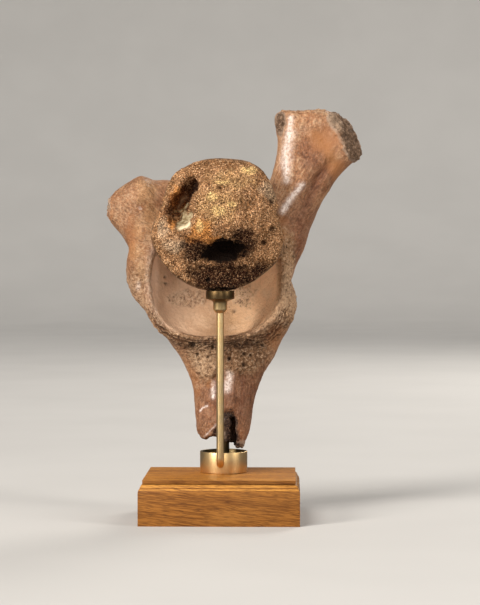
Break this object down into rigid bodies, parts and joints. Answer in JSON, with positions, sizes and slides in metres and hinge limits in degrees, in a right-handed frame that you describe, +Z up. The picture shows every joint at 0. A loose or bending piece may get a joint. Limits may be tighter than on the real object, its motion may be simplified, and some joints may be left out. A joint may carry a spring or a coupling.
{
  "type": "mounted fossil mammoth acetabulum with femoral head",
  "caption": "Broken pelvis bone with a round hip socket, its separate femoral head held in front on a brass rod, both standing on a moulded wooden plinth.",
  "frame": {"origin": "middle of the plinth's flat underside", "axes": "+Z up through the specimen, -Y towards the front, where the socket opens, +X to the right when seen from the front"},
  "size_m": [0.2955, 0.1784, 0.4688],
  "materials": {
    "wood": "satin, honey brown",
    "brass": "satin turned brass",
    "pelvis_bone": "fossil bone, worn smooth and slightly glossy, porous where broken",
    "head_bone": "fossil spongy bone, rough and matt"
  },
  "bodies": {
    "root": {"plinth": "wood", "brass_collar": "brass", "brass_post": "brass", "brass_rod": "brass", "brass_ferrule": "brass", "femoral_head": "head_bone", "pelvis_acetabulum": "pelvis_bone"}
  },
  "joints": []
}
